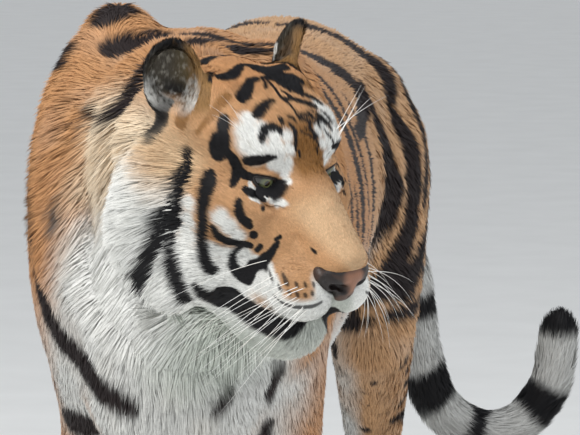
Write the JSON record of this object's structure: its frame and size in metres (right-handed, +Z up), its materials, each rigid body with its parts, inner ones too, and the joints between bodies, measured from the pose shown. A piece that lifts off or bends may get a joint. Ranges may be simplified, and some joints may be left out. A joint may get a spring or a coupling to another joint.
{
  "type": "tiger",
  "caption": "Life-size standing tiger with its lowered head turned to its left and its tail curled up at the tip.",
  "frame": {"origin": "the middle of the footprint of the whole animal with its tail, on the floor under its soles", "axes": "+Z up; the body runs along Y and faces -Y; +X is to the tiger's left, the side its head is turned to"},
  "size_m": [0.5808, 1.8014, 0.939],
  "materials": {
    "coat_orange": "soft short fur, orange-tan with black stripes",
    "coat_cream": "soft fur, cream to white with sparse black marks",
    "coat_banded": "soft fur in pale grey and black bands",
    "coat_dark": "short black fur with a white spot behind",
    "nose_leather": "bare, fine-grained and slightly moist",
    "eye": "glossy eyeball, grey-green iris with a round pupil"
  },
  "bodies": {
    "root": {"head": "coat_orange", "neck": "coat_orange", "chest": "coat_orange", "barrel": "coat_orange", "rump": "coat_orange", "shoulder_left": "coat_orange", "shoulder_right": "coat_orange", "thigh_left": "coat_orange", "thigh_right": "coat_orange", "shank_left": "coat_orange", "shank_right": "coat_orange", "muzzle": "coat_cream", "lower_jaw": "coat_cream", "forearm_left": "coat_cream", "forearm_right": "coat_cream", "metatarsus_left": "coat_cream", "metatarsus_right": "coat_cream", "forepaw_left": "coat_cream", "forepaw_right": "coat_cream", "hindpaw_left": "coat_cream", "hindpaw_right": "coat_cream", "tail_base": "coat_banded", "tail_middle": "coat_banded", "tail_bend": "coat_banded", "tail_tip": "coat_banded", "ear_left": "coat_dark", "ear_right": "coat_dark", "nose": "nose_leather", "eye_left": "eye", "eye_right": "eye"}
  },
  "joints": []
}
